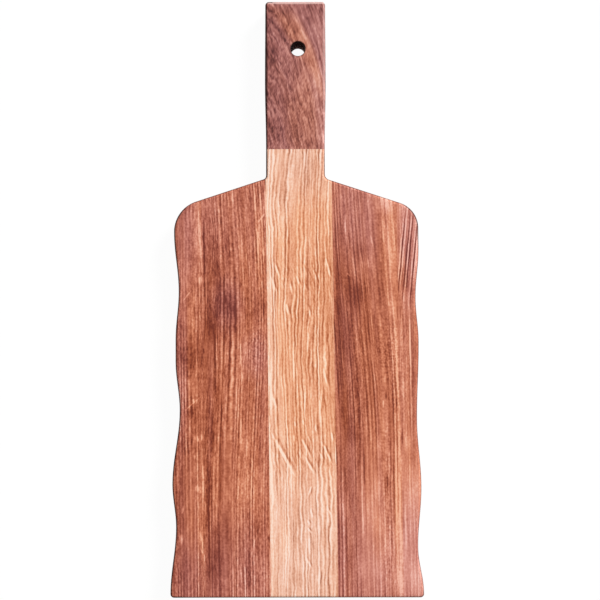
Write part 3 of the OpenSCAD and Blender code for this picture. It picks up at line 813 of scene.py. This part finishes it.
def walnut(slot):
    """Oiled walnut with an arched figure: mauve brown, short dark pores and a warm arch past the hole."""
    base = 0.49
    rings = (3.2, 0.14)
    layers = ((1.4, 60, 0.3), (1, 18, 0.36), (1, 6, 0.34), (1, 2.2, 0.38), (1, 1.1, 0.4), (6, 30, 0.16))
    pores = (1, 5, 0.6, 0.16)
    # Round the heart
    warm_places = ((63, 78, 6, 56, 0.8, 8.3), (50, 45, 18, 40, 0.5))
    quiet_tip = ((68, 78, 12, 40, -0.3),)
    # On the board: lighter and darker places, painted shade on the hole's wall and left arris, painted
    # highlights
    shades = ((-9, 440, 8, 14, -0.24), (-19, 408, 8, 18, -0.3), (17, 425, 9, 20, 0.16),
              (16, 386, 9, 24, 0.24), (17, 360, 9, 22, 0.14), (-10, 350, 18, 18, -0.16),
              (4, 386, 6, 14, 0.12), (-19, 384, 7, 18, -0.16), (-10, 446, 6, 7, 0.16),
              (10, 446, 6, 7, -0.24), (19, 345, 7, 10, 0.28), (-19, 436, 6, 9, -0.2),
              (-10, 436, 6, 8, 0.18), (10, 436, 6, 8, -0.18), (0, 428, 5, 8, -0.2),
              (0, 391, 5, 9, -0.14), (10, 372, 5, 9, 0.16), (19, 371, 5, 8, -0.2),
              (-19, 352, 6, 18, -0.18), (10, 341, 5, 7, -0.36), (-10, 370, 7, 9, -0.16),
              (-10, 426, 7, 9, -0.16))
    stain_r = HOLE_D / 2 + HOLE_SHADE_REACH
    hole_shade = ((HANDLE_SHIFT + HOLE_SHIFT, BOARD_L - HOLE_INSET, stain_r, stain_r, 0.94),)
    left_side = HANDLE_SHIFT - GRIP_W / 2
    left_arris_shade = ((left_side + ARRIS_INSET, 392, 1.9, 84, 0.8),)
    right_side = HANDLE_SHIFT + TIP_W / 2
    edge_highlights = ((HANDLE_SHIFT, BOARD_L, 60, 2.6, 0.6), (right_side, 400, 2.4, 70, 0.25))
    return wood(slot, handle_grain, (WALNUT_MAUVE, WALNUT_WARM), base, rings, layers, pores,
                marks=HANDLE_MARKS, calm=quiet_tip, blush=0.1, blush_marks=warm_places, shades=shades,
                highlights=edge_highlights, shade_places=GRIP_SHADE_PLACES, shade_streaks=left_arris_shade, shade_spots=hole_shade)


def beech(slot):
    """Plain beech of the dowels: even pale tan with short fine fibres along the dowel."""
    base = 0.5
    rings = (1.8, 0.1)
    layers = ((2, 40, 0.3), (0.6, 8, 0.3))
    pores = (0.4, 2, 0.66, 0.1)
    return wood(slot, stave_grain, (BEECH_TONES, BEECH_TONES), base, rings, layers, pores)


WOODS = {
    "left_edge_stave": red_oak(
        "red_oak_edge_left", LEFT_RINGS, LEFT_LAYERS, base=0.45, clouds=LEFT_EDGE_CLOUDS,
        marks=LEFT_EDGE_MARKS, flecks=LEFT_EDGE_LINES, calm=LEFT_EDGE_CALM, blush=0.1,
        blush_marks=LEFT_EDGE_BLUSH),
    "left_stave": red_oak(
        "red_oak_left", LEFT_RINGS, LEFT_LAYERS, base=0.5, swerves=LEFT_SWERVES, clouds=LEFT_CLOUDS,
        marks=LEFT_MARKS, flecks=LEFT_LINES, patches=LEFT_PATCHES, calm=LEFT_CALM, blush=0.1,
        blush_marks=LEFT_BLUSH),
    "centre_stave": pale_oak("pale_oak"),
    "right_stave": red_oak(
        "red_oak_right", RIGHT_RINGS, RIGHT_LAYERS, base=0.51, swerves=RIGHT_SWERVES, clouds=RIGHT_CLOUDS,
        marks=RIGHT_MARKS, flecks=RIGHT_LINES, patches=RIGHT_PATCHES, calm=RIGHT_CALM, blush=0.1,
        blush_marks=RIGHT_BLUSH),
    "right_edge_stave": red_oak(
        "red_oak_edge_right", RIGHT_EDGE_RINGS, RIGHT_EDGE_LAYERS, base=0.58, clouds=RIGHT_EDGE_CLOUDS,
        flecks=RIGHT_EDGE_LINES, calm=RIGHT_EDGE_CALM, blush=0.2, blush_marks=RIGHT_EDGE_BLUSH),
    "handle_block": walnut("walnut"),
}

# Pieces

OUTLINE = board_outline()
PROFILE = edge_profile()
ZONES = {
    "left_edge_stave": (-2 * FOOT_HALF, -EDGE_SEAM),
    "left_stave": (-EDGE_SEAM, -CENTRE_SEAM),
    "centre_stave": (-CENTRE_SEAM, CENTRE_SEAM),
    "right_stave": (CENTRE_SEAM, EDGE_SEAM),
    "right_edge_stave": (EDGE_SEAM, 2 * FOOT_HALF),
}
DRILLED = {"centre_stave": False, "handle_block": True}

piece_tree, piece_sockets = board_piece_tree()
profile_helper = helper("edge_profile", PROFILE, [(i, i + 1) for i in range(len(PROFILE) - 1)])
for node, material in WOODS.items():
    zone = stave_zone("zone", *ZONES[node]) if node in ZONES else handle_zone("zone")
    cutter = drill("drill", DRILLED[node]) if node in DRILLED else None
    values = {"Edge Profile": profile_helper, "Zone": zone, "Drill": cutter,
              "Thickness": BOARD_T * MM, "Wood": material}
    piece = board_piece(node + "_wood", piece_tree, piece_sockets, values)
    for used in filter(None, (zone, cutter)):
        bpy.data.objects.remove(used)
    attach(piece, "root")
    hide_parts(node)
bpy.data.objects.remove(profile_helper)

dowel_beech = beech("beech")
for node in ("left_dowel", "right_dowel"):
    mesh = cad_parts[node].data
    mesh.materials.clear()
    mesh.materials.append(dowel_beech)

# Floor, light and camera

# The floor sheet reaches past every view, and lies a little below the board so that their faces don't meet
FLOOR_REACH = 3000
FLOOR_DROP = 0.1
# Grey that the board sees, and the white with a faint grey for shadows that the camera sees
WHITE = (1, 1, 1, 1)
SHEET_GREY = (0.8, 0.8, 0.8, 1)
SHADOW_GREY = (0.05, 0.05, 0.05, 1)
SHEET_GLOW = 0.96
# The key lamp, as a sun of this width from this direction, and the even fill
KEY_ENERGY = 4
KEY_WIDTH = radians(20)
KEY_FROM = (0.58, 0.58, 0.574)
FILL_STRENGTH = 0.25
# The camera in millimetres: lens, sensor, its place, the point of the top face that it aims at, and its roll
LENS = 63.33
SENSOR = 36
CAMERA_PLACE = (2.31, -45.48, 813.4)
CAMERA_AIM = (2.39, -3.61, BOARD_T)
CAMERA_ROLL = radians(0.1)


def seen_share(tree):
    """One for a ray of the camera, a reflection or glass, and zero for light that falls on the board."""
    ray = add(tree, "ShaderNodeLightPath").outputs
    share = ray["Is Camera Ray"]
    for kind in ("Is Glossy Ray", "Is Transmission Ray"):
        share = add(tree, "ShaderNodeMath", {0: share, 1: ray[kind]}, operation="MAXIMUM").outputs[0]
    return share


def floor():
    """A wide white sheet that shows white to the camera and keeps a faint shadow of the board."""
    material = bpy.data.materials.new("white_paper_sheet")
    material.use_nodes = True
    tree = material.node_tree
    tree.nodes.clear()
    paper = add(tree, "ShaderNodeBsdfDiffuse", {"Color": SHEET_GREY})
    faint = add(tree, "ShaderNodeBsdfDiffuse", {"Color": SHADOW_GREY})
    glow = add(tree, "ShaderNodeEmission", {"Color": WHITE, "Strength": SHEET_GLOW})
    seen = add(tree, "ShaderNodeAddShader", {0: faint.outputs[0], 1: glow.outputs[0]})
    mixed = add(tree, "ShaderNodeMixShader", {0: seen_share(tree), 1: paper.outputs[0], 2: seen.outputs[0]})
    add(tree, "ShaderNodeOutputMaterial", {"Surface": mixed.outputs[0]})
    signs = ((-1, -1), (1, -1), (1, 1), (-1, 1))
    corners = [(x * FLOOR_REACH, y * FLOOR_REACH, -FLOOR_DROP) for x, y in signs]
    sheet = helper("floor", corners, faces=[(0, 1, 2, 3)])
    sheet.data.materials.append(material)


def light():
    """A soft key from the upper right and an even fill, so that the wood shows its own colour."""
    key = bpy.data.lights.new("key", "SUN")
    key.energy = KEY_ENERGY
    key.angle = KEY_WIDTH
    lamp = bpy.data.objects.new("key", key)
    lamp.rotation_euler = Vector(KEY_FROM).to_track_quat("Z", "Y").to_euler()
    bpy.context.scene.collection.objects.link(lamp)
    world = bpy.data.worlds.new("studio")
    bpy.context.scene.world = world
    world.use_nodes = True
    tree = world.node_tree
    tree.nodes.clear()
    strength = add(tree, "ShaderNodeMapRange",
                   {"Value": seen_share(tree), "To Min": FILL_STRENGTH, "To Max": 1}).outputs[0]
    sky = add(tree, "ShaderNodeBackground", {"Color": WHITE, "Strength": strength})
    add(tree, "ShaderNodeOutputWorld", {"Surface": sky.outputs[0]})


def camera():
    """The photograph's view: almost straight down, from above the foot half of the board."""
    lens = bpy.data.cameras.new("camera")
    lens.lens = LENS
    lens.sensor_width = SENSOR
    stand = bpy.data.objects.new("camera", lens)
    place = Vector(CAMERA_PLACE) * MM
    aim = Vector(CAMERA_AIM) * MM
    up = Vector((sin(CAMERA_ROLL), cos(CAMERA_ROLL), 0))
    back = (place - aim).normalized()
    right = up.cross(back).normalized()
    turn = Matrix((right, back.cross(right), back)).transposed()
    stand.matrix_world = Matrix.Translation(place) @ turn.to_4x4()
    bpy.context.scene.collection.objects.link(stand)
    bpy.context.scene.camera = stand


floor()
light()
camera()
bpy.context.scene.view_settings.view_transform = "Standard"
